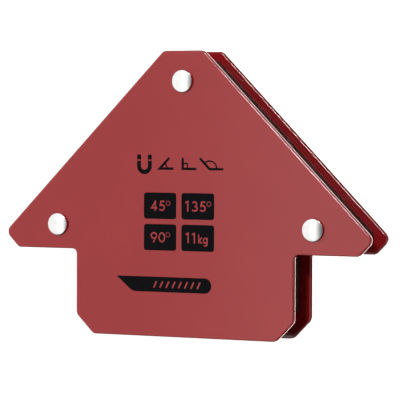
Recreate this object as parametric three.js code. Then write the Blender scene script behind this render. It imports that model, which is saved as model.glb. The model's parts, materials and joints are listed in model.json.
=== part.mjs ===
// Arrow-shaped magnetic holder for welding, of the 11 kg class.
//
// Two lacquered steel plates of the same outline are the pole pieces. They stand apart on three
// sleeved rivets, and a moulded frame between them holds three ferrite blocks. Steel is held against
// the plates' edges, which meet at 45, 90 and 135 degrees.
//
// Millimetres, +Z up. The plates are square to Y, the printed front plate faces -Y, and the origin is
// the centre of the bottom face, midway between the plates.

import * as THREE from "three";

// Outline of a plate, measured between the sharp corners that the rounded ones are cut from
const HEIGHT = 82;
const TIP_SPAN = 118.5;
const TOP_WIDTH = 12.8;
const SHOULDER_HEIGHT = 24.6;
const STEM_WIDTH = 70;
const FOOT_CHAMFER = 5.6;
const FOOT_RADIUS = 2.2;
const ARMPIT_RADIUS = 1.5;
const UNDER_TIP_RADIUS = 1.6;
const TIP_RADIUS = 2.2;
const TOP_RADIUS = 2.2;

// Through the thickness
const THICKNESS = 13;
const PLATE_THICKNESS = 1.6;
const PLATE_EDGE_ROUND = 0.4;
const GAP = THICKNESS - 2 * PLATE_THICKNESS;

// Rivets, their sleeves and their places
const SIDE_RIVET_OFFSET = 41;
const SIDE_RIVET_HEIGHT = 31.7;
const TOP_RIVET_HEIGHT = 73.3;
const SHANK_RADIUS = 1.75;
const HEAD_RADIUS = 3.2;
const HEAD_HEIGHT = 1;
const HEAD_RIM = 0.35;
const SET_HEAD_FLAT = 1.4;
const RIVET_HOLE_RADIUS = 2.05;
const SLEEVE_BORE_RADIUS = 1.95;
const SLEEVE_RADIUS = 3.15;

// Moulded frame, set in from the plates' edges
const FRAME_SLOPE_INSET = 2.1;
const FRAME_STEM_INSET = 3;
const FRAME_FOOT_HEIGHT = 7.6;
const FRAME_EDGE_ROUND = 0.3;
const FRAME_FOOT_RADIUS = 1;
const FRAME_ARMPIT_RADIUS = 2;
const FRAME_TIP_RADIUS = 2.8;
const FRAME_TOP_RADIUS = 5;
const FRAME_WALL = 1.4;

// Ferrite blocks, all three alike
const BLOCK_LENGTH = 40;
const BLOCK_WIDTH = 18;
const ARM_BLOCK_ALONG_SLOPE = 34.5;
const POCKET_CLEARANCE = 0.3;

// How finely round stretches are cut
const STEPS_PER_CORNER = 6;
const STEPS_PER_CIRCLE = 24;
const STEPS_PER_DOME = 4;

const QUARTER_TURN = Math.PI / 2;

// The slope runs at 45 degrees from the top corner down to the tip, and the edge under the tip runs
// back at 45 degrees to the shoulder.
const SLOPE_ANGLE = QUARTER_TURN / 2;
const TIP_HEIGHT = HEIGHT - (TIP_SPAN - TOP_WIDTH) / 2;
const UNDER_TIP_OFFSET = TIP_SPAN / 2 - (TIP_HEIGHT - SHOULDER_HEIGHT);

const RIVET_PLACES = {
  top: [0, TOP_RIVET_HEIGHT],
  left: [-SIDE_RIVET_OFFSET, SIDE_RIVET_HEIGHT],
  right: [SIDE_RIVET_OFFSET, SIDE_RIVET_HEIGHT],
};

const MATERIALS = {
  plateLacquer: { color: 0xa31a1c, roughness: 0.35, metalness: 0.1 },
  rivetPlating: { color: 0xd9d9d6, roughness: 0.18, metalness: 1 },
  sleeveAluminium: { color: 0xb4b5b6, roughness: 0.4, metalness: 1 },
  framePlastic: { color: 0x221d1c, roughness: 0.6, metalness: 0 },
  ferrite: { color: 0x38373a, roughness: 0.75, metalness: 0.1 },
};

// A named solid with a finish of its own.
function piece(name, geometry, finish) {
  const mesh = new THREE.Mesh(geometry, new THREE.MeshStandardMaterial(MATERIALS[finish]));
  mesh.name = name;
  return mesh;
}

function corner(x, z, radius) {
  return { point: new THREE.Vector2(x, z), radius };
}

// The corners of a shape that is the same on both sides, from those of its right half, foot to top.
function bothSides(rightHalf) {
  const leftHalf = rightHalf.map(({ point, radius }) => corner(-point.x, point.y, radius));
  return [...rightHalf, ...leftHalf.reverse()];
}

// A closed outline through the corners, which runs anticlockwise and turns each corner on an arc.
function roundedOutline(corners) {
  const outline = new THREE.Shape();
  corners.forEach(({ point, radius }, index) => {
    const before = corners.at(index - 1).point;
    const after = corners[(index + 1) % corners.length].point;
    const arriving = point.clone().sub(before).normalize();
    const leaving = after.clone().sub(point).normalize();
    const turn = Math.atan2(arriving.cross(leaving), arriving.dot(leaving));
    const setback = radius * Math.tan(Math.abs(turn) / 2);
    const toCentre = new THREE.Vector2(-arriving.y, arriving.x).multiplyScalar(radius * Math.sign(turn));
    const centre = point.clone().addScaledVector(arriving, -setback).add(toCentre);
    const start = Math.atan2(-toCentre.y, -toCentre.x);
    outline.absarc(centre.x, centre.y, radius, start, start + turn, turn < 0);
  });
  return outline;
}

function roundHole(x, z, radius) {
  const circle = new THREE.EllipseCurve(x, z, radius, radius);
  return new THREE.Path(circle.getPoints(STEPS_PER_CIRCLE).slice(0, -1));
}

// A flat part with the outline's shape and softened edges, centred on the XZ plane.
function flatPart(outline, thickness, edgeRound) {
  const geometry = new THREE.ExtrudeGeometry(outline, {
    depth: thickness - 2 * edgeRound,
    bevelThickness: edgeRound,
    bevelSize: edgeRound,
    bevelOffset: -edgeRound,
    bevelSegments: 2,
    curveSegments: STEPS_PER_CORNER / 2,
  });
  geometry.translate(0, 0, edgeRound - thickness / 2);
  return geometry.rotateX(QUARTER_TURN);
}

// Both plates come from one stamped blank with three rivet holes.
function plateBlank() {
  const stem = STEM_WIDTH / 2;
  const outline = roundedOutline(
    bothSides([
      corner(stem - FOOT_CHAMFER, 0, FOOT_RADIUS),
      corner(stem, FOOT_CHAMFER, FOOT_RADIUS),
      corner(stem, SHOULDER_HEIGHT, ARMPIT_RADIUS),
      corner(UNDER_TIP_OFFSET, SHOULDER_HEIGHT, UNDER_TIP_RADIUS),
      corner(TIP_SPAN / 2, TIP_HEIGHT, TIP_RADIUS),
      corner(TOP_WIDTH / 2, HEIGHT, TOP_RADIUS),
    ]),
  );
  for (const [x, z] of Object.values(RIVET_PLACES)) {
    outline.holes.push(roundHole(x, z, RIVET_HOLE_RADIUS));
  }
  return flatPart(outline, PLATE_THICKNESS, PLATE_EDGE_ROUND);
}

// Where the ferrite blocks lie: each has its centre, and its turn from level.
function blockPlaces() {
  const toOuterSide = FRAME_SLOPE_INSET + FRAME_WALL + POCKET_CLEARANCE;
  const depth = toOuterSide + BLOCK_WIDTH / 2;
  const alongX = ARM_BLOCK_ALONG_SLOPE * Math.cos(SLOPE_ANGLE);
  const alongZ = ARM_BLOCK_ALONG_SLOPE * Math.sin(SLOPE_ANGLE);
  const inwardX = depth * Math.sin(SLOPE_ANGLE);
  const inwardZ = depth * Math.cos(SLOPE_ANGLE);
  const armX = TOP_WIDTH / 2 + alongX - inwardX;
  const armZ = HEIGHT - alongZ - inwardZ;
  const baseZ = FRAME_FOOT_HEIGHT + FRAME_WALL + POCKET_CLEARANCE + BLOCK_WIDTH / 2;
  return {
    left: { x: -armX, z: armZ, turn: SLOPE_ANGLE },
    right: { x: armX, z: armZ, turn: -SLOPE_ANGLE },
    base: { x: 0, z: baseZ, turn: 0 },
  };
}

// The window in the frame that a ferrite block sits in.
function pocket({ x, z, turn }) {
  const halfLength = BLOCK_LENGTH / 2 + POCKET_CLEARANCE;
  const halfWidth = BLOCK_WIDTH / 2 + POCKET_CLEARANCE;
  const centre = new THREE.Vector2(x, z);
  const corners = [
    [-1, -1],
    [1, -1],
    [1, 1],
    [-1, 1],
  ].map(([along, across]) =>
    new THREE.Vector2(x + along * halfLength, z + across * halfWidth).rotateAround(centre, turn),
  );
  return new THREE.Path(corners);
}

// The moulded frame fills the space between the plates, a little inside their outline.
function magnetFrame() {
  const stem = STEM_WIDTH / 2 - FRAME_STEM_INSET;
  const armUnderside = SHOULDER_HEIGHT + FRAME_SLOPE_INSET;
  const top = HEIGHT - FRAME_SLOPE_INSET;
  const slopeReach = TOP_WIDTH / 2 + HEIGHT - FRAME_SLOPE_INSET / Math.cos(SLOPE_ANGLE);
  const outline = roundedOutline(
    bothSides([
      corner(stem, FRAME_FOOT_HEIGHT, FRAME_FOOT_RADIUS),
      corner(stem, armUnderside, FRAME_ARMPIT_RADIUS),
      corner(slopeReach - armUnderside, armUnderside, FRAME_TIP_RADIUS),
      corner(slopeReach - top, top, FRAME_TOP_RADIUS),
    ]),
  );
  for (const [x, z] of Object.values(RIVET_PLACES)) {
    outline.holes.push(roundHole(x, z, SLEEVE_RADIUS + POCKET_CLEARANCE));
  }
  for (const place of Object.values(blockPlaces())) {
    outline.holes.push(pocket(place));
  }
  return flatPart(outline, GAP, FRAME_EDGE_ROUND);
}

// Angles from 0 to a quarter turn, in even steps.
function quarterTurnSteps(count) {
  return Array.from({ length: count + 1 }, (_, step) => (step / count) * QUARTER_TURN);
}

// A rivet turned about Y: a low domed head on the front, a flatter head set by the press on the back.
function rivet() {
  const face = THICKNESS / 2;
  const rim = face + HEAD_RIM;
  const domeRise = HEAD_HEIGHT - HEAD_RIM;
  const shoulderWidth = HEAD_RADIUS - SET_HEAD_FLAT;
  const angles = quarterTurnSteps(STEPS_PER_DOME);
  const dome = angles.map(
    (angle) => new THREE.Vector2(HEAD_RADIUS * Math.sin(angle), -rim - domeRise * Math.cos(angle)),
  );
  const setHead = angles.map(
    (angle) =>
      new THREE.Vector2(SET_HEAD_FLAT + shoulderWidth * Math.cos(angle), rim + domeRise * Math.sin(angle)),
  );
  const profile = [
    ...dome,
    new THREE.Vector2(HEAD_RADIUS, -face),
    new THREE.Vector2(SHANK_RADIUS, -face),
    new THREE.Vector2(SHANK_RADIUS, face),
    new THREE.Vector2(HEAD_RADIUS, face),
    ...setHead,
    new THREE.Vector2(0, face + HEAD_HEIGHT),
  ];
  return new THREE.LatheGeometry(profile, STEPS_PER_CIRCLE);
}

// A sleeve turned about Y, as long as the plates are apart.
function sleeve() {
  const halfLength = GAP / 2;
  const section = [
    new THREE.Vector2(SLEEVE_BORE_RADIUS, -halfLength),
    new THREE.Vector2(SLEEVE_RADIUS, -halfLength),
    new THREE.Vector2(SLEEVE_RADIUS, halfLength),
    new THREE.Vector2(SLEEVE_BORE_RADIUS, halfLength),
    new THREE.Vector2(SLEEVE_BORE_RADIUS, -halfLength),
  ];
  return new THREE.LatheGeometry(section, STEPS_PER_CIRCLE);
}

function plates() {
  const group = new THREE.Group();
  for (const [name, side] of [
    ["front_plate", -1],
    ["back_plate", 1],
  ]) {
    const plate = piece(name, plateBlank(), "plateLacquer");
    plate.position.y = (side * (GAP + PLATE_THICKNESS)) / 2;
    group.add(plate);
  }
  return group;
}

function fastenings() {
  const group = new THREE.Group();
  for (const [name, [x, z]] of Object.entries(RIVET_PLACES)) {
    const fastening = new THREE.Group();
    fastening.position.set(x, 0, z);
    fastening.add(piece(`rivet_${name}`, rivet(), "rivetPlating"));
    fastening.add(piece(`spacer_${name}`, sleeve(), "sleeveAluminium"));
    group.add(fastening);
  }
  return group;
}

function magnetPack() {
  const group = new THREE.Group();
  group.add(piece("magnet_carrier", magnetFrame(), "framePlastic"));
  for (const [name, { x, z, turn }] of Object.entries(blockPlaces())) {
    const block = new THREE.BoxGeometry(BLOCK_LENGTH, GAP, BLOCK_WIDTH);
    const magnet = piece(`magnet_${name}`, block, "ferrite");
    magnet.position.set(x, 0, z);
    magnet.rotation.y = -turn;
    group.add(magnet);
  }
  return group;
}

const holder = new THREE.Group();
holder.add(plates(), fastenings(), magnetPack());

export default holder;
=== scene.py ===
import json
import math

import bmesh
import bpy
from mathutils import Matrix, Quaternion, Vector


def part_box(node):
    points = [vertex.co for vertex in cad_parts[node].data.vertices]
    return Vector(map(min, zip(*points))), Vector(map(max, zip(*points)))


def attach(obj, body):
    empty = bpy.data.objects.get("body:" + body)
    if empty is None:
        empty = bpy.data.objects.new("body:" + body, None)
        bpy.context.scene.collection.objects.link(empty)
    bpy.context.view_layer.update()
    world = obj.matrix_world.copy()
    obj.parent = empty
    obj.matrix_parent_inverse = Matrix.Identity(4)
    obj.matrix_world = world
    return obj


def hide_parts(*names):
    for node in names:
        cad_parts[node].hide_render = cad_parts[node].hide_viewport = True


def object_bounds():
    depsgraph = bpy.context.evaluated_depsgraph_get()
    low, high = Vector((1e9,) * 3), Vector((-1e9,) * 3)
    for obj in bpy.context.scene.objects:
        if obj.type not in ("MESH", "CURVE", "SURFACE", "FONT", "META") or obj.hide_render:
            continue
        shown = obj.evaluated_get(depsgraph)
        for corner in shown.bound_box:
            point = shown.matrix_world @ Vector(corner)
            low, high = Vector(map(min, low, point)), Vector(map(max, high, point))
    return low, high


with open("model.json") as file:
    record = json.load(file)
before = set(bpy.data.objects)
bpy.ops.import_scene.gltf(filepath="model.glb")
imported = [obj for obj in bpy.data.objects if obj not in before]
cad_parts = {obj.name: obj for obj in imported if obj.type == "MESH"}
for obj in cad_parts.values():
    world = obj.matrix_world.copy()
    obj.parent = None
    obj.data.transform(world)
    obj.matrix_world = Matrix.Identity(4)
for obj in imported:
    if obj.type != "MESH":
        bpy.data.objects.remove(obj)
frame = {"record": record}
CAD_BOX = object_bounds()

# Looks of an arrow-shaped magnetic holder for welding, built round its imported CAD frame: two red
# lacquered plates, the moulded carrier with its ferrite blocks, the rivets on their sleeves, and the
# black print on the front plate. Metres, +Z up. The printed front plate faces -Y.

MM = 0.001
FULL_TURN = 2 * math.pi
SLOPE = math.radians(45)

# How finely round stretches are cut, and from what angle an edge is shown sharp
ARC_STEP = math.radians(6)
EDGE_STEPS = 6
CIRCLE_STEPS = 96
STROKE_STEPS = 20
BOW_STEPS = 24
SIGN_ARC_STEPS = 16
FACE_MARGIN = 0.05 * MM
CREASED = math.radians(50)
CHAMFERED = math.radians(40)
FINELY_CHAMFERED = math.radians(30)

# Plates: what the frame's mounts and boxes don't give
FOOT_CHAMFER = 5.6 * MM
FOOT_RADIUS = 2.2 * MM
ARMPIT_RADIUS = 1.5 * MM
UNDER_TIP_RADIUS = 1.6 * MM
TIP_RADIUS = 2.2 * MM
TOP_RADIUS = 2.2 * MM
PLATE_EDGE_ROUND = 0.4 * MM
INNER_EDGE_ROUND = 0.3 * MM
BURNISHED_DEPTH = 0.95 * MM
EDGE_TAPER = math.radians(7)
CREASE_WIDTH = 0.04 * MM
RIVET_HOLE_RADIUS = 2.05 * MM
HOLE_EDGE_ROUND = 0.15 * MM

# Carrier
CARRIER_FOOT_RADIUS = 1 * MM
CARRIER_ARMPIT_RADIUS = 2 * MM
CARRIER_TIP_RADIUS = 2.8 * MM
CARRIER_TOP_RADIUS = 5 * MM
CARRIER_EDGE_ROUND = 0.3 * MM
CARRIER_SLOPE_INSET = 2.1 * MM
CARRIER_STEM_INSET = 3 * MM
RIB_PLACES = (-2.6 * MM, 0.0, 2.6 * MM)
RIB_HALF_WIDTH = 0.6 * MM
RIB_HEIGHT = 0.3 * MM
RIB_EDGE_ROUND = 0.25 * MM
POCKET_CLEARANCE = 0.3 * MM
POCKET_CORNER_RADIUS = 0.5 * MM
BLOCK_CHAMFER = 0.5 * MM

# Rivets and sleeves
HEAD_COLLAR_RADIUS = 2.65 * MM
HEAD_COLLAR_HEIGHT = 0.35 * MM
HEAD_WALL = 0.25 * MM
HEAD_RIM_ROUND = 0.12 * MM
SET_HEAD_FLAT = 1.4 * MM
SHANK_RADIUS = 1.75 * MM
SLEEVE_BORE_RADIUS = 1.95 * MM
SLEEVE_CHAMFER = 0.2 * MM

# Print: a two by two grid of labels, a row of signs above it, and a band below
INK_THICKNESS = 0.03 * MM
INK_SUNK = 0.01 * MM
CUTTER_REACH = 5 * INK_THICKNESS
LABEL_WIDTH = 10.45 * MM
LABEL_HEIGHT = 7.55 * MM
LABEL_RADIUS = 0.8 * MM
LABEL_COLUMN_GAP = 1.7 * MM
LABEL_ROW_GAP = 1.5 * MM
GRID_CENTRE = Vector((-1.2, 33.1)) * MM
DIGIT_HEIGHT = 3.05 * MM
DIGIT_STROKE = 0.46 * MM
UNIT_HEIGHT = 2.6 * MM
UNIT_STROKE = 0.8 * DIGIT_STROKE
LOAD_MARGIN = 0.11 * LABEL_WIDTH
RING_RADIUS = 0.64 * MM
RING_DROP = 1.2 * RING_RADIUS
RING_STROKE = 0.21 * MM
SIGN_FOOT = 48.3 * MM
SIGN_HEIGHT = 3.1 * MM
SIGN_LENGTH = 4.4 * MM
SIGN_STROKE = 0.7 * MM
SIGN_THIN_STROKE = 0.4 * MM
SIGN_ARC_RADIUS = 2.3 * MM
SIGN_SQUARE = 1.5 * MM
SIGN_CORNERS = {45: -7.4 * MM, 90: 0.0 * MM, 135: 8.6 * MM}
MAGNET_CENTRE = Vector((-12.4, 49.0)) * MM
MAGNET_BOW_RADIUS = 1.75 * MM
MAGNET_STROKE = 1.25 * MM
MAGNET_LEG = 1.5 * MM
MAGNET_GAP = 0.35 * MM
MAGNET_POLE = 1.4 * MM
BAND_TIP_X = -21.5 * MM
BAND_SLANT_FOOT_X = -15.6 * MM
BAND_ROUND_X = 7.1 * MM
BAND_TOP = 17.2 * MM
BAND_BOTTOM = 12.85 * MM
SLANT_BENDS = ((0, 0), (0.45, 0.5), (0.78, 0.87), (1, 1))
SLASHES = 8
SLASH_PITCH = 2 * MM
SLASH_REACH = 0.95 * MM
SLASH_STROKE = 0.5 * MM
FIRST_SLASH_X = -9.3 * MM

# Lacquer: it shines more where it is thin, and a face turned nearly straight to the gap is an inner one,
# which gets a darker red as painted shade between the plates
COAT_IOR = 1.5
THIN_COAT_EXTRA_IOR = 0.5
NEARLY_STRAIGHT_ON = 0.95

# Room: azimuth 0 is in front of the printed plate, and 90 is to its right. Each panel has its azimuth,
# elevation, half width, half height and softness in degrees, its level and its tint.
ROOM_LEVEL = 0.06
ROOM_WHITE_TO_CAMERA = 1.2
WHITE = (1, 1, 1)
WARM_WHITE = (1.45, 1, 0.98)
PANELS = {
    "key": (5, 29, 4, 4, 1.2, 53, WHITE),
    "front_left": (-47, 4, 33.5, 29, 3, 1.1, WHITE),
    "front_strip": (-20, 4, 6.5, 29, 2.5, 0.55, WHITE),
    "right_low": (72, 0, 34, 18, 4, 0.1, WHITE),
    "behind_low": (-173, 0, 22, 20, 1.5, 4.2, WARM_WHITE),
    "behind_right_low": (120, -24, 22, 14, 8, 1.6, WHITE),
}
FLOOR_HALF_WIDTH = 12
FLOOR_DROP = 0.02 * MM
FLOOR_GREY = 0.35
FLOOR_GLOW = 0.03
FLOOR_GLOW_TO_CAMERA = 0.92
FLOOR_FADE_START = 0.25
FLOOR_FADE_END = 0.8

# Camera, with its azimuth counted as the room's is
CAMERA_AZIMUTH = math.radians(27.15)
CAMERA_LOOKS_DOWN = math.radians(1.81)
CAMERA_ROLL = math.radians(0.168)
CAMERA_DISTANCE = 695.3 * MM
CAMERA_TARGET_FROM_FACE_CENTRE = Vector((5.58, 0, -1.51)) * MM
LENS_MM = 220.1
SENSOR_MM = 36

FRONT_LOW, FRONT_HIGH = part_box("front_plate")
FACE_Y = FRONT_LOW.y
BACK_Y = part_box("back_plate")[1].y
FACE_CENTRE = Vector((0, FACE_Y, (FRONT_LOW.z + FRONT_HIGH.z) / 2))


# ---------------------------------------------------------------- outlines

def mount_place(name):
    """Where the record's mount of this name lies, in metres."""
    mounts = {mount["name"]: mount for mount in frame["record"]["mounts"]}
    return Vector(mounts[name]["pos_m"])


def rounded_outline(corners):
    """A closed outline's points with their outward normals, from anticlockwise (x, z, radius) corners."""
    outline = []
    for index, (x, z, radius) in enumerate(corners):
        corner = Vector((x, z))
        before = Vector(corners[index - 1][:2])
        after = Vector(corners[(index + 1) % len(corners)][:2])
        arriving = (corner - before).normalized()
        leaving = (after - corner).normalized()
        turn = math.atan2(arriving.cross(leaving), arriving.dot(leaving))
        side = math.copysign(radius, turn)
        start = corner - arriving * radius * math.tan(abs(turn) / 2)
        first_normal = Vector((arriving.y, -arriving.x))
        centre = start - first_normal * side
        steps = math.ceil(abs(turn) / ARC_STEP)
        for step in range(steps + 1):
            normal = Matrix.Rotation(turn * step / steps, 2) @ first_normal
            outline.append((centre + normal * side, normal))
    return outline


def both_sides(right_half):
    """The corners of a shape that is the same on both sides, from its right half, foot to top."""
    left_half = [(-x, z, radius) for x, z, radius in reversed(right_half)]
    return right_half + left_half


def as_hole(outline):
    """The same outline as the edge of a hole, with the normals pointing into it."""
    return [(point, -normal) for point, normal in outline]


def circle(x, z, radius):
    """A circle's points with their outward normals, anticlockwise."""
    outline = []
    for step in range(CIRCLE_STEPS):
        angle = FULL_TURN * step / CIRCLE_STEPS
        normal = Vector((math.cos(angle), math.sin(angle)))
        outline.append((Vector((x, z)) + normal * radius, normal))
    return outline


def rectangle(centre, width, height, radius, turn=0.0):
    """A rectangle with rounded corners, turned about its centre."""
    corners = []
    for across, up in ((-1, -1), (1, -1), (1, 1), (-1, 1)):
        offset = Vector((across * width / 2, up * height / 2))
        x, z = Vector(centre) + Matrix.Rotation(turn, 2) @ offset
        corners.append((x, z, radius))
    return rounded_outline(corners)


# ---------------------------------------------------------------- meshes

def quarter_round(radius):
    """Steps of (inset, depth) round an edge, from the face to the side."""
    turns = [step / EDGE_STEPS * math.pi / 2 for step in range(EDGE_STEPS + 1)]
    return [(radius * (1 - math.sin(turn)), radius * (1 - math.cos(turn))) for turn in turns]


def rounded_edges(thickness, radius):
    """Steps of (inset, y) from the front face to the back face, with both edges rounded."""
    steps = [(radius + FACE_MARGIN, 0)] + quarter_round(radius)
    front = [(inset, depth - thickness / 2) for inset, depth in steps]
    return front + [(inset, -y) for inset, y in reversed(front)]


def sheared_edge(thickness):
    """Steps of (inset, y) round a cut plate's edge: outer face (-Y), burnished flat, taper, inner face."""
    half = thickness / 2
    crease_y = BURNISHED_DEPTH - half
    taper_reach = half - INNER_EDGE_ROUND - crease_y
    taper = taper_reach * math.tan(EDGE_TAPER)
    outer_steps = [(PLATE_EDGE_ROUND + FACE_MARGIN, 0)] + quarter_round(PLATE_EDGE_ROUND)
    inner_steps = [(INNER_EDGE_ROUND + FACE_MARGIN, 0)] + quarter_round(INNER_EDGE_ROUND)
    outer = [(inset, depth - half) for inset, depth in outer_steps]
    crease = [
        (0, crease_y - CREASE_WIDTH),
        (CREASE_WIDTH * math.tan(EDGE_TAPER), crease_y + CREASE_WIDTH),
    ]
    inner = [(taper + inset, half - depth) for inset, depth in reversed(inner_steps)]
    return outer + crease + inner


def add_flat(mesh, walls, centre_y=0.0):
    """Adds a closed flat solid. Each wall is an outline and the (inset, y) steps that it follows."""
    rims = ([], [])
    for outline, steps in walls:
        rings = []
        for inset, y in steps:
            points = [point - normal * inset for point, normal in outline]
            rings.append([mesh.verts.new((point.x, centre_y + y, point.y)) for point in points])
        for near, far in zip(rings, rings[1:]):
            for i in range(len(near)):
                j = (i + 1) % len(near)
                mesh.faces.new((near[i], near[j], far[j], far[i]))
        for rim, ring in zip(rims, (rings[0], rings[-1])):
            for i, vertex in enumerate(ring):
                rim.append(mesh.edges.get((vertex, ring[(i + 1) % len(ring)])))
    for rim in rims:
        bmesh.ops.triangle_fill(mesh, use_beauty=True, edges=rim)


def add_turned(mesh, profile, x, z, closed=False):
    """Adds a solid turned about an axis along Y, from (radius, y) points from axis to axis or closed."""
    rings = []
    for radius, y in profile:
        if radius == 0:
            rings.append([mesh.verts.new((x, y, z))])
        else:
            points = [point for point, _ in circle(x, z, radius)]
            rings.append([mesh.verts.new((point.x, y, point.y)) for point in points])
    followers = rings[1:] + rings[:1] if closed else rings[1:]
    for near, far in zip(rings, followers):
        for i in range(CIRCLE_STEPS):
            j = (i + 1) % CIRCLE_STEPS
            corners = (near[i % len(near)], near[j % len(near)], far[j % len(far)], far[i % len(far)])
            mesh.faces.new(list(dict.fromkeys(corners)))


def piece(name, mesh, material, slot, *nodes):
    """Turns a bmesh into a piece that rides on the body and stands for the CAD nodes."""
    bmesh.ops.recalc_face_normals(mesh, faces=mesh.faces)
    for face in mesh.faces:
        face.smooth = True
    data = bpy.data.meshes.new(name)
    mesh.to_mesh(data)
    mesh.free()
    data.materials.append(material)
    made = bpy.data.objects.new(name, data)
    bpy.context.scene.collection.objects.link(made)
    if nodes:
        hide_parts(*nodes)
    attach(made, "root")
    return made


def shade_edges(made, sharp_angle):
    """Smooth rounds and flat faces, with edges sharper than the angle kept crisp."""
    made.data.set_sharp_from_angle(angle=sharp_angle)
    weighted = made.modifiers.new("flat_faces_stay_flat", "WEIGHTED_NORMAL")
    weighted.keep_sharp = True
    weighted.weight = 100


# ---------------------------------------------------------------- material helpers

def add_node(tree, kind, inputs=None, **settings):
    """Adds a node. An input is either a number or colour, or a socket to link from."""
    node = tree.nodes.new(kind)
    for name, value in settings.items():
        setattr(node, name, value)
    for name, value in (inputs or {}).items():
        socket = node.inputs[name]
        if isinstance(value, bpy.types.NodeSocket):
            tree.links.new(value, socket)
        else:
            socket.default_value = value
    return node


def place_in_mm(tree, stretch=(1, 1, 1)):
    """The point's place in the part's frame in millimetres, stretched along the axes."""
    place = add_node(tree, "ShaderNodeTexCoord").outputs["Object"]
    factors = [axis / MM for axis in stretch]
    return add_node(tree, "ShaderNodeVectorMath", {0: place, 1: factors}, operation="MULTIPLY").outputs[0]


def noise(tree, grain, detail=3.0, stretch=(1, 1, 1)):
    """Noise from 0 to 1 with grains about this many millimetres across."""
    place = place_in_mm(tree, stretch)
    inputs = {"Vector": place, "Scale": 1 / grain, "Detail": detail}
    return add_node(tree, "ShaderNodeTexNoise", inputs).outputs[0]


def spread(tree, value, low, high):
    """Noise mapped so that its usual range, a quarter to three quarters, runs from low to high."""
    inputs = {"Value": value, "From Min": 0.25, "From Max": 0.75, "To Min": low, "To Max": high}
    return add_node(tree, "ShaderNodeMapRange", inputs).outputs[0]


def colours(tree, value, first, last):
    """Noise shown as a colour, which runs from the first to the last over its usual range."""
    ramp = add_node(tree, "ShaderNodeValToRGB", {"Fac": spread(tree, value, 0, 1)})
    for element, stop in zip(ramp.color_ramp.elements, (first, last)):
        element.color = (*stop, 1)
    return ramp.outputs[0]


def mix(tree, share, first, second):
    """The first colour, with this share of the second mixed in."""
    inputs = {0: share, 6: first, 7: second}
    return add_node(tree, "ShaderNodeMix", inputs, data_type="RGBA").outputs[2]


def bump(tree, height, depth, below=None):
    """A bump of this many millimetres, on top of another bump if one is given."""
    inputs = {"Height": height, "Distance": depth * MM, "Strength": 1.0}
    if below is not None:
        inputs["Normal"] = below
    return add_node(tree, "ShaderNodeBump", inputs).outputs[0]


def compute(tree, operation, *values, clamp=False):
    """One arithmetic node."""
    inputs = dict(enumerate(values))
    return add_node(tree, "ShaderNodeMath", inputs, operation=operation, use_clamp=clamp).outputs[0]


def part_of(tree, vector, axis):
    """One of a vector's three numbers."""
    return add_node(tree, "ShaderNodeSeparateXYZ", {"Vector": vector}).outputs[axis]


def new_material(name):
    material = bpy.data.materials.new(name)
    material.use_nodes = True
    material.node_tree.nodes.clear()
    return material, material.node_tree


def finish_surface(tree, inputs):
    surface = add_node(tree, "ShaderNodeBsdfPrincipled", inputs)
    add_node(tree, "ShaderNodeOutputMaterial", {"Surface": surface.outputs[0]})


# ---------------------------------------------------------------- materials

def thin_lacquer(tree):
    """How thin the lacquer is: 1 halfway round an edge, and 0 on faces square to Y or along it."""
    normal = add_node(tree, "ShaderNodeNewGeometry").outputs["Normal"]
    facing = part_of(tree, normal, "Y")
    squared = compute(tree, "MULTIPLY", facing, facing)
    rest = compute(tree, "SUBTRACT", 1.0, squared, clamp=True)
    halfway = compute(tree, "SQRT", compute(tree, "MULTIPLY", squared, rest))
    return compute(tree, "MULTIPLY", halfway, 2.0, clamp=True)


def inner_face_shade_mask(tree):
    """1 on the faces that look towards the other plate, where a darker red is painted in as the shade
    between the plates, and 0 elsewhere.
    """
    normal = add_node(tree, "ShaderNodeNewGeometry").outputs["Normal"]
    place = add_node(tree, "ShaderNodeTexCoord").outputs["Object"]
    side = compute(tree, "SIGN", part_of(tree, place, "Y"))
    facing_out = compute(tree, "MULTIPLY", part_of(tree, normal, "Y"), side)
    return compute(tree, "LESS_THAN", facing_out, -NEARLY_STRAIGHT_ON)


def red_lacquer():
    """Glossy red lacquer on steel: orange peel, painted shade as a darker red on the inner faces, and
    steel faintly through at the edges.
    """
    material, tree = new_material("red_lacquer")
    patches = noise(tree, 24, detail=2)
    peel = noise(tree, 0.9, detail=2)
    grain = noise(tree, 0.22, detail=2)
    wear = noise(tree, 3)
    thin = thin_lacquer(tree)
    steel_share = compute(tree, "MULTIPLY", thin, spread(tree, wear, 0.14, 0.2))
    outer_cover = colours(tree, patches, (0.57, 0.014, 0.019), (0.61, 0.017, 0.022))
    # The inner faces' darker red is painted shade: those faces sit in the shade between the plates.
    inner_painted_shade = (0.46, 0.015, 0.021, 1)
    steel_through = (0.95, 0.5, 0.44, 1)
    cover = mix(tree, inner_face_shade_mask(tree), outer_cover, inner_painted_shade)
    inputs = {
        "Base Color": mix(tree, steel_share, cover, steel_through),
        "Metallic": steel_share,
        "Roughness": spread(tree, grain, 0.26, 0.34),
        "Specular IOR Level": 0.0,
        "Coat Weight": 1.0,
        "Coat IOR": compute(tree, "MULTIPLY_ADD", thin, THIN_COAT_EXTRA_IOR, COAT_IOR),
        "Coat Roughness": 0.05,
        "Normal": bump(tree, grain, 0.0006, bump(tree, peel, 0.0012)),
        "Coat Normal": bump(tree, peel, 0.0006),
    }
    finish_surface(tree, inputs)
    return material


def nickel():
    """Bright nickel, tumbled: fine scratches and a slightly uneven polish."""
    material, tree = new_material("nickel")
    polish = noise(tree, 1.4)
    scratches = noise(tree, 0.16, detail=2, stretch=(1, 1, 0.25))
    inputs = {
        "Base Color": colours(tree, polish, (0.76, 0.75, 0.73), (0.86, 0.86, 0.85)),
        "Metallic": 1.0,
        "Roughness": spread(tree, polish, 0.2, 0.28),
        "Normal": bump(tree, scratches, 0.0006),
    }
    finish_surface(tree, inputs)
    return material


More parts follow.
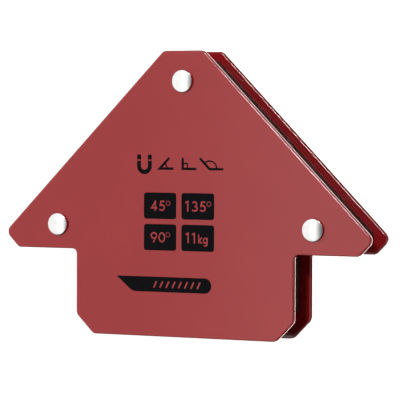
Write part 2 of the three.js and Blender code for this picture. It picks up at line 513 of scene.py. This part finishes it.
def moulded_plastic():
    """Brownish black moulded plastic with a fine spark-eroded grain and faint flow marks."""
    material, tree = new_material("moulded_plastic")
    flow = noise(tree, 9)
    grain = noise(tree, 0.12, detail=2)
    inputs = {
        "Base Color": colours(tree, flow, (0.055, 0.028, 0.016), (0.085, 0.043, 0.025)),
        "Roughness": spread(tree, grain, 0.42, 0.56),
        "Specular IOR Level": 0.3,
        "Normal": bump(tree, grain, 0.006),
    }
    finish_surface(tree, inputs)
    return material


def ferrite():
    """Sintered ferrite: charcoal, matt, speckled, with grinding lines along the blocks."""
    material, tree = new_material("ferrite")
    speckle = noise(tree, 0.35, detail=4)
    grinding = noise(tree, 0.2, detail=2, stretch=(0.05, 1, 1))
    inputs = {
        "Base Color": colours(tree, speckle, (0.035, 0.035, 0.038), (0.085, 0.084, 0.088)),
        "Roughness": spread(tree, speckle, 0.6, 0.78),
        "Normal": bump(tree, grinding, 0.004, bump(tree, speckle, 0.006)),
    }
    finish_surface(tree, inputs)
    return material


def turned_aluminium():
    """Dull aluminium with the rings that turning leaves, all across the axis."""
    material, tree = new_material("turned_aluminium")
    rings = noise(tree, 0.15, stretch=(0.04, 1, 0.04))
    inputs = {
        "Base Color": colours(tree, rings, (0.58, 0.58, 0.59), (0.74, 0.74, 0.75)),
        "Metallic": 1.0,
        "Roughness": spread(tree, rings, 0.3, 0.45),
        "Normal": bump(tree, rings, 0.004),
    }
    finish_surface(tree, inputs)
    return material


def black_ink():
    """Screen-printed ink, with the faint mesh of the screen and slightly uneven cover."""
    material, tree = new_material("black_ink")
    cover = noise(tree, 3)
    screen = noise(tree, 0.14, detail=1)
    inputs = {
        "Base Color": colours(tree, cover, (0.003, 0.003, 0.004), (0.006, 0.006, 0.008)),
        "Roughness": spread(tree, screen, 0.5, 0.65),
        "Specular IOR Level": 0.07,
        "Normal": bump(tree, screen, 0.002),
    }
    finish_surface(tree, inputs)
    return material


# ---------------------------------------------------------------- plates

def plate_outline():
    """The plates' outline, from the planes of the record's mounts and the box over the round tips."""
    stem = mount_place("stem_right").x
    shoulder = mount_place("shoulder_right").z
    top = mount_place("top_edge").z
    slope = mount_place("slope_right")
    slope_reach = slope.x + slope.z
    tip_x = FRONT_HIGH.x + TIP_RADIUS * (1 / math.sin(SLOPE) - 1)
    tip_z = slope_reach - tip_x
    return rounded_outline(
        both_sides(
            [
                (stem - FOOT_CHAMFER, 0, FOOT_RADIUS),
                (stem, FOOT_CHAMFER, FOOT_RADIUS),
                (stem, shoulder, ARMPIT_RADIUS),
                (tip_x - (tip_z - shoulder), shoulder, UNDER_TIP_RADIUS),
                (tip_x, tip_z, TIP_RADIUS),
                (slope_reach - top, top, TOP_RADIUS),
            ]
        )
    )


def rivet_places():
    """Each rivet's name with its x and z."""
    places = {}
    for side in ("top", "left", "right"):
        low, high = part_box(f"rivet_{side}")
        centre = (low + high) / 2
        places[side] = (centre.x, centre.z)
    return places


def plate(name, node, material, outer_side):
    """A plate with its outer face on the side given: -1 is the front and 1 is the back."""
    low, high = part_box(node)
    thickness = high.y - low.y
    edge = sheared_edge(thickness)
    if outer_side > 0:
        edge = [(inset, -y) for inset, y in reversed(edge)]
    walls = [(plate_outline(), edge)]
    for x, z in rivet_places().values():
        hole = as_hole(circle(x, z, RIVET_HOLE_RADIUS))
        walls.append((hole, rounded_edges(thickness, HOLE_EDGE_ROUND)))
    mesh = bmesh.new()
    add_flat(mesh, walls, (low.y + high.y) / 2)
    made = piece(name, mesh, material, "plate_lacquer", node)
    shade_edges(made, CREASED)


# ---------------------------------------------------------------- magnet pack

def block_places():
    """Each ferrite block's centre, its turn from level, and the blocks' length and width."""
    low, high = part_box("magnet_base")
    length = high.x - low.x
    width = high.z - low.z
    places = {}
    for side, turn in (("left", SLOPE), ("right", -SLOPE), ("base", 0.0)):
        low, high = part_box(f"magnet_{side}")
        centre = (low + high) / 2
        places[side] = ((centre.x, centre.z), turn)
    return places, length, width


def ribbed_side(thickness):
    """Steps of (inset, y) down the carrier's side, with low ribs running along it."""
    half = thickness / 2
    near_edge = [(RIB_HEIGHT + inset, depth - half) for inset, depth in quarter_round(CARRIER_EDGE_ROUND)]
    far_edge = [(inset, -y) for inset, y in reversed(near_edge)]
    rib = [(RIB_HEIGHT, -RIB_HALF_WIDTH)]
    rib += [(inset, depth - RIB_HALF_WIDTH) for inset, depth in quarter_round(RIB_EDGE_ROUND)]
    rib += [(inset, -y) for inset, y in reversed(rib)]
    ribs = [(inset, middle + y) for middle in RIB_PLACES for inset, y in rib]
    return near_edge + ribs + far_edge


def carrier(material):
    low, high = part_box("magnet_carrier")
    thickness = high.y - low.y
    slope = mount_place("slope_right")
    slope_reach = slope.x + slope.z - CARRIER_SLOPE_INSET / math.cos(SLOPE)
    stem = mount_place("stem_right").x - CARRIER_STEM_INSET
    arm_underside = mount_place("shoulder_right").z + CARRIER_SLOPE_INSET
    outline = rounded_outline(
        both_sides(
            [
                (stem, low.z, CARRIER_FOOT_RADIUS),
                (stem, arm_underside, CARRIER_ARMPIT_RADIUS),
                (slope_reach - arm_underside, arm_underside, CARRIER_TIP_RADIUS),
                (slope_reach - high.z, high.z, CARRIER_TOP_RADIUS),
            ]
        )
    )
    plain_edges = rounded_edges(thickness, HOLE_EDGE_ROUND)
    walls = [(outline, ribbed_side(thickness))]
    for side, (x, z) in rivet_places().items():
        sleeve_low, sleeve_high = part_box(f"spacer_{side}")
        radius = (sleeve_high.x - sleeve_low.x) / 2 + POCKET_CLEARANCE
        walls.append((as_hole(circle(x, z, radius)), plain_edges))
    places, length, width = block_places()
    pocket_length = length + 2 * POCKET_CLEARANCE
    pocket_width = width + 2 * POCKET_CLEARANCE
    for centre, turn in places.values():
        pocket = rectangle(centre, pocket_length, pocket_width, POCKET_CORNER_RADIUS, turn)
        walls.append((as_hole(pocket), plain_edges))
    mesh = bmesh.new()
    add_flat(mesh, walls)
    made = piece("carrier_moulding", mesh, material, "carrier_plastic", "magnet_carrier")
    shade_edges(made, CREASED)


def blocks(material):
    places, length, width = block_places()
    for side, (centre, turn) in places.items():
        node = f"magnet_{side}"
        low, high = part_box(node)
        half = (high.y - low.y) / 2
        near_edge = [(BLOCK_CHAMFER, -half), (0, BLOCK_CHAMFER - half)]
        far_edge = [(inset, -y) for inset, y in reversed(near_edge)]
        outline = rectangle(centre, length, width, BLOCK_CHAMFER, turn)
        mesh = bmesh.new()
        add_flat(mesh, [(outline, near_edge + far_edge)], (low.y + high.y) / 2)
        made = piece(f"ferrite_block_{side}", mesh, material, "ferrite", node)
        shade_edges(made, CHAMFERED)


# ---------------------------------------------------------------- rivets

def domed_head(radius, rise):
    """(radius, depth) points of a front head, from the middle of its shallow dome round its tight rim."""
    reach = radius - HEAD_RIM_ROUND
    sphere_radius = (reach ** 2 + rise ** 2) / (2 * rise)
    steps = 2 * EDGE_STEPS
    dome = [(0, 0)]
    for step in range(1, steps + 1):
        across = reach * step / steps
        dome.append((across, sphere_radius - math.sqrt(sphere_radius ** 2 - across ** 2)))
    rim_start = math.asin(reach / sphere_radius)
    rim = []
    for step in range(1, steps + 1):
        angle = rim_start + (math.pi / 2 - rim_start) * step / steps
        across = HEAD_RIM_ROUND * (math.sin(angle) - math.sin(rim_start))
        depth = HEAD_RIM_ROUND * (math.cos(rim_start) - math.cos(angle))
        rim.append((reach + across, rise + depth))
    return dome + rim


def set_head(radius, rise):
    """(radius, height) points of a head set by the press, from its wall up to its flat middle."""
    steps = 2 * EDGE_STEPS
    points = []
    for step in range(steps + 1):
        angle = step / steps * math.pi / 2
        across = (radius - SET_HEAD_FLAT) * math.cos(angle)
        height = HEAD_WALL + (rise - HEAD_WALL) * math.sin(angle)
        points.append((SET_HEAD_FLAT + across, height))
    return points


def rivet_profile(node):
    """(radius, y) points of a rivet: a domed head on a narrower collar, the shank, and a set head."""
    low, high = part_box(node)
    head_radius = (high.x - low.x) / 2
    rise = FACE_Y - low.y
    collar_y = FACE_Y - HEAD_COLLAR_HEIGHT
    dome_rise = rise - HEAD_COLLAR_HEIGHT - HEAD_WALL - HEAD_RIM_ROUND
    front = [(radius, low.y + depth) for radius, depth in domed_head(head_radius, dome_rise)]
    shank = [
        (head_radius, collar_y),
        (HEAD_COLLAR_RADIUS, collar_y),
        (HEAD_COLLAR_RADIUS, FACE_Y),
        (SHANK_RADIUS, FACE_Y),
        (SHANK_RADIUS, BACK_Y),
        (head_radius, BACK_Y),
    ]
    back = [(radius, BACK_Y + height) for radius, height in set_head(head_radius, rise)]
    return front + shank + back + [(0, high.y)]


def rivets(material):
    for side, (x, z) in rivet_places().items():
        node = f"rivet_{side}"
        mesh = bmesh.new()
        add_turned(mesh, rivet_profile(node), x, z)
        made = piece(f"nickel_rivet_{side}", mesh, material, "rivet_plating", node)
        shade_edges(made, CREASED)


def sleeves(material):
    for side, (x, z) in rivet_places().items():
        node = f"spacer_{side}"
        low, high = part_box(node)
        radius = (high.x - low.x) / 2
        profile = [
            (SLEEVE_BORE_RADIUS, low.y),
            (radius - SLEEVE_CHAMFER, low.y),
            (radius, low.y + SLEEVE_CHAMFER),
            (radius, high.y - SLEEVE_CHAMFER),
            (radius - SLEEVE_CHAMFER, high.y),
            (SLEEVE_BORE_RADIUS, high.y),
        ]
        mesh = bmesh.new()
        add_turned(mesh, profile, x, z, closed=True)
        made = piece(f"aluminium_sleeve_{side}", mesh, material, "spacer_aluminium", node)
        shade_edges(made, FINELY_CHAMFERED)


# ---------------------------------------------------------------- print

def plain(points):
    """An outline whose walls run straight through."""
    return [(Vector(point), Vector((0, 0))) for point in points]


def stroke_walls(points, width, closed=False):
    """Outlines of a stroke of even width along the points: one outline, or a ring and its hole."""
    left, right = [], []
    last = len(points) - 1
    for index, point in enumerate(points):
        arriving = (point - points[index - 1]).normalized()
        leaving = (points[(index + 1) % len(points)] - point).normalized()
        if index == 0 and not closed:
            arriving = leaving
        if index == last and not closed:
            leaving = arriving
        first = Vector((-arriving.y, arriving.x))
        second = Vector((-leaving.y, leaving.x))
        mitre = (first + second).normalized()
        offset = mitre * (width / 2) / mitre.dot(first)
        left.append(point + offset)
        right.append(point - offset)
    if closed:
        return [left, right]
    return [left + right[::-1]]


def arc(centre, radius_x, radius_z, first_degrees, last_degrees, steps=STROKE_STEPS):
    """Points along part of an ellipse, in the order of the angles given."""
    points = []
    for step in range(steps + 1):
        angle = math.radians(first_degrees + (last_degrees - first_degrees) * step / steps)
        points.append(Vector(centre) + Vector((radius_x * math.cos(angle), radius_z * math.sin(angle))))
    return points


def oval(centre, radius_x, radius_z):
    """Points all round an ellipse, each one once."""
    last_degrees = 360 * (1 - 1 / STROKE_STEPS)
    return arc(centre, radius_x, radius_z, 0, last_degrees, STROKE_STEPS - 1)


def line(*points):
    return [Vector(point) for point in points]


# Each sign below has its advance and its strokes, as shares of the height. A stroke has its points and
# whether it closes on itself.


def digit_one():
    return 0.66, [(line((0.06, 0.82), (0.33, 0.94), (0.33, 0)), False)]


def digit_nought():
    return 0.84, [(oval((0.40, 0.5), 0.29, 0.42), True)]


def digit_three():
    upper = arc((0.38, 0.71), 0.22, 0.21, 155, -90)
    lower = arc((0.38, 0.29), 0.28, 0.21, 90, -150)
    return 0.84, [(upper, False), (lower, False)]


def digit_four():
    stem = line((0.56, 1.0), (0.56, 0))
    slant_and_bar = line((0.56, 0.92), (0.16, 0.29), (0.76, 0.29))
    return 0.86, [(stem, False), (slant_and_bar, False)]


def digit_five():
    bowl = arc((0.37, 0.33), 0.29, 0.25, 122, -145)
    return 0.84, [(line((0.66, 0.92), (0.29, 0.92)) + bowl, False)]


def digit_nine():
    tail = line((0.65, 0.58), (0.33, 0))
    return 0.84, [(oval((0.40, 0.66), 0.28, 0.26), True), (tail, False)]


def letter_k():
    stem = line((0.14, 1.0), (0.14, 0))
    arm_and_leg = line((0.54, 0.68), (0.2, 0.33), (0.56, 0))
    return 0.60, [(stem, False), (arm_and_leg, False)]


def letter_g():
    hook = line((0.58, 0.68), (0.58, 0.02)) + arc((0.35, -0.03), 0.23, 0.22, 0, -145)
    return 0.72, [(oval((0.35, 0.34), 0.23, 0.27), True), (hook, False)]


GLYPHS = {
    "0": digit_nought,
    "1": digit_one,
    "3": digit_three,
    "4": digit_four,
    "5": digit_five,
    "9": digit_nine,
    "k": letter_k,
    "g": letter_g,
}


def add_ink_cutter(mesh, loops):
    """Adds a solid that reaches through the ink on both sides."""
    through = [(0, -CUTTER_REACH), (0, CUTTER_REACH)]
    add_flat(mesh, [(plain(loop), through) for loop in loops], FACE_Y)


def add_text_cutters(mesh, text, left, foot, height, stroke):
    """Adds cutters for the signs of a short text and returns where it ends."""
    pen = left
    for sign in text:
        advance, strokes = GLYPHS[sign]()
        for points, closed in strokes:
            placed = [Vector((pen, foot)) + point * height for point in points]
            add_ink_cutter(mesh, stroke_walls(placed, stroke, closed))
        pen += advance * height
    return pen


def cut_out(made, cutters):
    """Cuts the shapes out of the piece and bakes the result."""
    bmesh.ops.recalc_face_normals(cutters, faces=cutters.faces)
    data = bpy.data.meshes.new("cutters")
    cutters.to_mesh(data)
    cutters.free()
    cutter = bpy.data.objects.new("cutters", data)
    bpy.context.scene.collection.objects.link(cutter)
    boolean = made.modifiers.new("openings", "BOOLEAN")
    boolean.object = cutter
    boolean.operation = "DIFFERENCE"
    boolean.solver = "EXACT"
    boolean.use_self = True
    graph = bpy.context.evaluated_depsgraph_get()
    cut = bpy.data.meshes.new_from_object(made.evaluated_get(graph))
    made.modifiers.clear()
    made.data = cut
    bpy.data.objects.remove(cutter)


def ink_piece(name, outlines, material):
    """Printed shapes as one piece."""
    mesh = bmesh.new()
    for outline in outlines:
        add_flat(mesh, [(outline, [(0, -INK_THICKNESS), (0, INK_SUNK)])], FACE_Y)
    made = piece(name, mesh, material, "print_ink")
    made.data.set_sharp_from_angle(angle=FINELY_CHAMFERED)
    return made


def label_centre(column, row):
    """Centre of a label: columns -1 and 1 are left and right, rows 1 and -1 are upper and lower."""
    across = (LABEL_WIDTH + LABEL_COLUMN_GAP) / 2
    up = (LABEL_HEIGHT + LABEL_ROW_GAP) / 2
    return GRID_CENTRE + Vector((column * across, row * up))


def angle_label(name, text, column, row, material):
    """A black label with an angle in degrees cut out of it."""
    centre = label_centre(column, row)
    made = ink_piece(name, [rectangle(centre, LABEL_WIDTH, LABEL_HEIGHT, LABEL_RADIUS)], material)
    width = sum(GLYPHS[sign]()[0] for sign in text) * DIGIT_HEIGHT + 2 * RING_RADIUS
    foot = centre.y - DIGIT_HEIGHT / 2
    left = centre.x - width / 2
    cutters = bmesh.new()
    end = add_text_cutters(cutters, text, left, foot, DIGIT_HEIGHT, DIGIT_STROKE)
    degree_centre = (end + RING_RADIUS, foot + DIGIT_HEIGHT - RING_DROP)
    degree_sign = oval(degree_centre, RING_RADIUS, RING_RADIUS)
    add_ink_cutter(cutters, stroke_walls(degree_sign, RING_STROKE, closed=True))
    cut_out(made, cutters)


def load_label(name, column, row, material):
    """A black label with the load rating cut out of it."""
    centre = label_centre(column, row)
    made = ink_piece(name, [rectangle(centre, LABEL_WIDTH, LABEL_HEIGHT, LABEL_RADIUS)], material)
    foot = centre.y - DIGIT_HEIGHT / 2
    left = centre.x - LABEL_WIDTH / 2 + LOAD_MARGIN
    cutters = bmesh.new()
    end = add_text_cutters(cutters, "11", left, foot, DIGIT_HEIGHT, DIGIT_STROKE)
    add_text_cutters(cutters, "kg", end, foot, UNIT_HEIGHT, UNIT_STROKE)
    cut_out(made, cutters)


def band(material):
    """A black band under the labels, slanted at its left end, with a row of slanted openings."""
    height = BAND_TOP - BAND_BOTTOM
    middle = (BAND_TOP + BAND_BOTTOM) / 2
    slant_width = BAND_SLANT_FOOT_X - BAND_TIP_X
    slant = []
    for across, down in SLANT_BENDS:
        slant.append(Vector((BAND_TIP_X + across * slant_width, BAND_TOP - down * height)))
    end_round = arc((BAND_ROUND_X, middle), height / 2, height / 2, -90, 90, BOW_STEPS)
    made = ink_piece("print_band", [plain(end_round + slant)], material)
    cutters = bmesh.new()
    for index in range(SLASHES):
        x = FIRST_SLASH_X + index * SLASH_PITCH
        slash = line((x, middle - SLASH_REACH), (x + SLASH_REACH, middle + SLASH_REACH))
        add_ink_cutter(cutters, stroke_walls(slash, SLASH_STROKE))
    cut_out(made, cutters)


def magnet_sign(material):
    """A horseshoe magnet standing on its bow, with its two poles set off by narrow gaps."""
    x, z = MAGNET_CENTRE
    radius = MAGNET_BOW_RADIUS
    leg_top = z + MAGNET_LEG
    pole_foot = leg_top + MAGNET_GAP
    bow = arc((x, z), radius, radius, 180, 360, BOW_STEPS)
    body = line((x - radius, leg_top)) + bow + line((x + radius, leg_top))
    strokes = [body]
    for pole_x in (x - radius, x + radius):
        strokes.append(line((pole_x, pole_foot), (pole_x, pole_foot + MAGNET_POLE)))
    outlines = [plain(loop) for stroke in strokes for loop in stroke_walls(stroke, MAGNET_STROKE)]
    ink_piece("print_magnet_sign", outlines, material)


def angle_signs(material):
    """A row of signs for the angles that the tool holds: two strokes from a corner, with a thin mark."""
    outlines = []
    for degrees, corner_x in SIGN_CORNERS.items():
        corner = Vector((corner_x, SIGN_FOOT))
        direction = Matrix.Rotation(math.radians(degrees), 2) @ Vector((1, 0))
        upper_end = corner + direction * (SIGN_HEIGHT / direction.y)
        lower_end = corner + Vector((SIGN_LENGTH, 0))
        strokes = [([upper_end, corner, lower_end], SIGN_STROKE)]
        if degrees == 90:
            reach = SIGN_SQUARE
            square = line((reach, 0), (reach, reach), (0, reach))
            mark = [corner + point for point in square]
        else:
            reach = SIGN_ARC_RADIUS
            mark = arc(corner, reach, reach, 0, degrees, SIGN_ARC_STEPS)
        strokes.append((mark, SIGN_THIN_STROKE))
        for points, width in strokes:
            outlines += [plain(loop) for loop in stroke_walls(points, width)]
    ink_piece("print_angle_signs", outlines, material)


def front_print(material):
    magnet_sign(material)
    angle_signs(material)
    angle_label("print_label_45", "45", -1, 1, material)
    angle_label("print_label_135", "135", 1, 1, material)
    angle_label("print_label_90", "90", -1, -1, material)
    load_label("print_label_load", 1, -1, material)
    band(material)


# ---------------------------------------------------------------- studio

def floor():
    """A plain pale floor, wide enough to be seen from any side."""
    mesh = bmesh.new()
    bmesh.ops.create_grid(mesh, x_segments=1, y_segments=1, size=FLOOR_HALF_WIDTH)
    data = bpy.data.meshes.new("floor")
    mesh.to_mesh(data)
    mesh.free()
    made = bpy.data.objects.new("floor", data)
    made.location.z = CAD_BOX[0].z - FLOOR_DROP
    made.visible_glossy = False
    bpy.context.scene.collection.objects.link(made)
    data.materials.append(pale_floor())


def pale_floor():
    """Grey paper that glows white to the camera and fades into the white room with distance."""
    material, tree = new_material("pale_floor")
    grey = (FLOOR_GREY, FLOOR_GREY, FLOOR_GREY, 1)
    paper = add_node(tree, "ShaderNodeBsdfPrincipled", {"Base Color": grey, "Roughness": 0.7}).outputs[0]
    camera_sees = add_node(tree, "ShaderNodeLightPath").outputs["Is Camera Ray"]
    extra = compute(tree, "MULTIPLY", camera_sees, FLOOR_GLOW_TO_CAMERA - FLOOR_GLOW)
    glow_level = compute(tree, "ADD", extra, FLOOR_GLOW)
    glow = add_node(tree, "ShaderNodeEmission", {"Strength": glow_level}).outputs[0]
    lit = add_node(tree, "ShaderNodeAddShader", {0: paper, 1: glow}).outputs[0]
    clear = add_node(tree, "ShaderNodeBsdfTransparent").outputs[0]
    place = add_node(tree, "ShaderNodeTexCoord").outputs["Object"]
    reach = add_node(tree, "ShaderNodeVectorMath", {0: place}, operation="LENGTH").outputs["Value"]
    fade_inputs = {"Value": reach, "From Min": FLOOR_FADE_START, "From Max": FLOOR_FADE_END}
    fade = add_node(tree, "ShaderNodeMapRange", fade_inputs, interpolation_type="SMOOTHSTEP").outputs[0]
    edge = compute(tree, "MULTIPLY", fade, camera_sees)
    seen = add_node(tree, "ShaderNodeMixShader", {0: edge, 1: lit, 2: clear}).outputs[0]
    add_node(tree, "ShaderNodeOutputMaterial", {"Surface": seen})
    return material


def panel(tree, direction, azimuth, elevation, half_width, half_height, softness, level, tint):
    """The light of a glowing panel from a direction. All of its angles are in degrees."""
    turn_inputs = {"Vector": direction, "Angle": math.radians(-azimuth)}
    turned = add_node(tree, "ShaderNodeVectorRotate", turn_inputs, rotation_type="Z_AXIS").outputs[0]
    parts = add_node(tree, "ShaderNodeSeparateXYZ", {"Vector": turned}).outputs
    ahead = compute(tree, "MULTIPLY", parts["Y"], -1.0)
    aside = compute(tree, "ABSOLUTE", compute(tree, "ARCTAN2", parts["X"], ahead))
    height = compute(tree, "ARCSINE", parts["Z"])
    above = compute(tree, "ABSOLUTE", compute(tree, "SUBTRACT", height, math.radians(elevation)))
    glow = level
    for distance, half in ((aside, half_width), (above, half_height)):
        inputs = {
            "Value": distance,
            "From Min": math.radians(half - softness),
            "From Max": math.radians(half + softness),
            "To Min": 1.0,
            "To Max": 0.0,
        }
        edge = add_node(tree, "ShaderNodeMapRange", inputs, interpolation_type="SMOOTHSTEP").outputs[0]
        glow = compute(tree, "MULTIPLY", glow, edge)
    return add_node(tree, "ShaderNodeVectorMath", {0: tint, "Scale": glow}, operation="SCALE").outputs[0]


def room():
    """White to the camera, while the part sees a dim room with glowing panels in it."""
    world = bpy.data.worlds.new("room")
    world.use_nodes = True
    tree = world.node_tree
    tree.nodes.clear()
    direction = add_node(tree, "ShaderNodeTexCoord").outputs["Generated"]
    glow = (ROOM_LEVEL, ROOM_LEVEL, ROOM_LEVEL)
    for settings in PANELS.values():
        added = {0: glow, 1: panel(tree, direction, *settings)}
        glow = add_node(tree, "ShaderNodeVectorMath", added, operation="ADD").outputs[0]
    camera_sees = add_node(tree, "ShaderNodeLightPath").outputs["Is Camera Ray"]
    white_inputs = {"Color": (*WHITE, 1), "Strength": ROOM_WHITE_TO_CAMERA}
    white = add_node(tree, "ShaderNodeBackground", white_inputs).outputs[0]
    around = add_node(tree, "ShaderNodeBackground", {"Color": glow}).outputs[0]
    mixed = add_node(tree, "ShaderNodeMixShader", {0: camera_sees, 1: around, 2: white}).outputs[0]
    add_node(tree, "ShaderNodeOutputWorld", {"Surface": mixed})
    bpy.context.scene.world = world


def camera():
    """A long lens, to the right of the printed plate's front and a little above it."""
    target = FACE_CENTRE + CAMERA_TARGET_FROM_FACE_CENTRE
    away = Vector(
        (
            math.sin(CAMERA_AZIMUTH) * math.cos(CAMERA_LOOKS_DOWN),
            -math.cos(CAMERA_AZIMUTH) * math.cos(CAMERA_LOOKS_DOWN),
            math.sin(CAMERA_LOOKS_DOWN),
        )
    )
    data = bpy.data.cameras.new("camera")
    data.lens = LENS_MM
    data.sensor_width = SENSOR_MM
    data.clip_start = 0.01
    data.clip_end = 100
    made = bpy.data.objects.new("camera", data)
    made.location = target + away * CAMERA_DISTANCE
    made.rotation_mode = "QUATERNION"
    made.rotation_quaternion = (-away).to_track_quat("-Z", "Y") @ Quaternion((0, 0, 1), CAMERA_ROLL)
    bpy.context.scene.collection.objects.link(made)
    bpy.context.scene.camera = made


LACQUER = red_lacquer()
plate("front_pole_plate", "front_plate", LACQUER, -1)
plate("back_pole_plate", "back_plate", LACQUER, 1)
carrier(moulded_plastic())
blocks(ferrite())
rivets(nickel())
sleeves(turned_aluminium())
front_print(black_ink())
floor()
room()
camera()
bpy.context.scene.view_settings.view_transform = "Standard"
